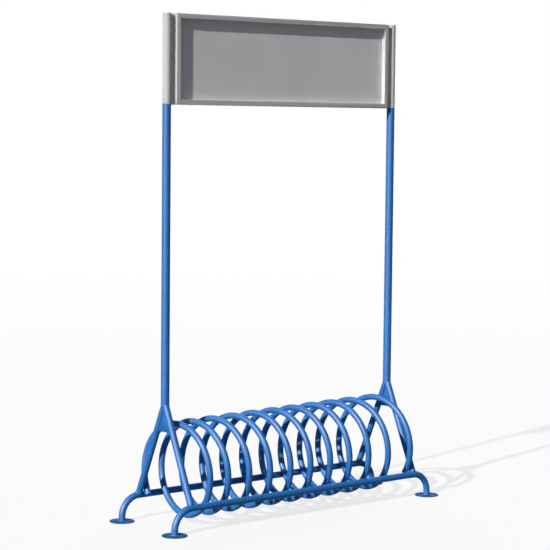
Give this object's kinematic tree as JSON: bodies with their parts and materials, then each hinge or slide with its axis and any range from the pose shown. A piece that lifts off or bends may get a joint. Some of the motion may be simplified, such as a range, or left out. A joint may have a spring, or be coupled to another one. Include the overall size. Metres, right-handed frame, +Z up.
{
  "type": "bicycle rack",
  "caption": "Free-standing bicycle rack: a long spiral tube on low rails takes wheels between its turns, and tall poles at its ends carry a framed sign board.",
  "frame": {"origin": "on the ground, midway between the four foot plates", "axes": "+X along the rack, from its left end to its right end as seen from the front; +Y to its rear; +Z up"},
  "size_m": [1.8146, 0.5546, 2.5],
  "materials": {
    "blue_paint": "semi-gloss powder coat, mid blue",
    "light_grey_paint": "satin powder coat, light grey",
    "board_grey_paint": "satin coating, pale grey",
    "dark_screw_steel": "blackened steel",
    "bare_steel": "bare mill finish",
    "grey_plastic": "fine matte"
  },
  "bodies": {
    "root": {"foot_plate_left_front": "blue_paint", "foot_plate_left_rear": "blue_paint", "foot_plate_right_front": "blue_paint", "foot_plate_right_rear": "blue_paint", "front_rail": "blue_paint", "gusset_left": "blue_paint", "gusset_right": "blue_paint", "leg_left_front": "blue_paint", "leg_left_rear": "blue_paint", "leg_right_front": "blue_paint", "leg_right_rear": "blue_paint", "pole_left": "blue_paint", "pole_right": "blue_paint", "post_left": "blue_paint", "post_right": "blue_paint", "post_spigot_left": "bare_steel", "post_spigot_right": "bare_steel", "rear_rail": "blue_paint", "set_screw_left": "dark_screw_steel", "set_screw_right": "dark_screw_steel", "side_tube_left": "light_grey_paint", "side_tube_right": "light_grey_paint", "sign_bar_bottom": "light_grey_paint", "sign_bar_left": "light_grey_paint", "sign_bar_right": "light_grey_paint", "sign_bar_top": "light_grey_paint", "sign_board": "board_grey_paint", "sign_lug_left_lower": "light_grey_paint", "sign_lug_left_upper": "light_grey_paint", "sign_lug_right_lower": "light_grey_paint", "sign_lug_right_upper": "light_grey_paint", "spigot_left": "bare_steel", "spigot_right": "bare_steel", "spiral_tube": "blue_paint", "tube_cap_left": "grey_plastic", "tube_cap_right": "grey_plastic"}
  },
  "joints": []
}
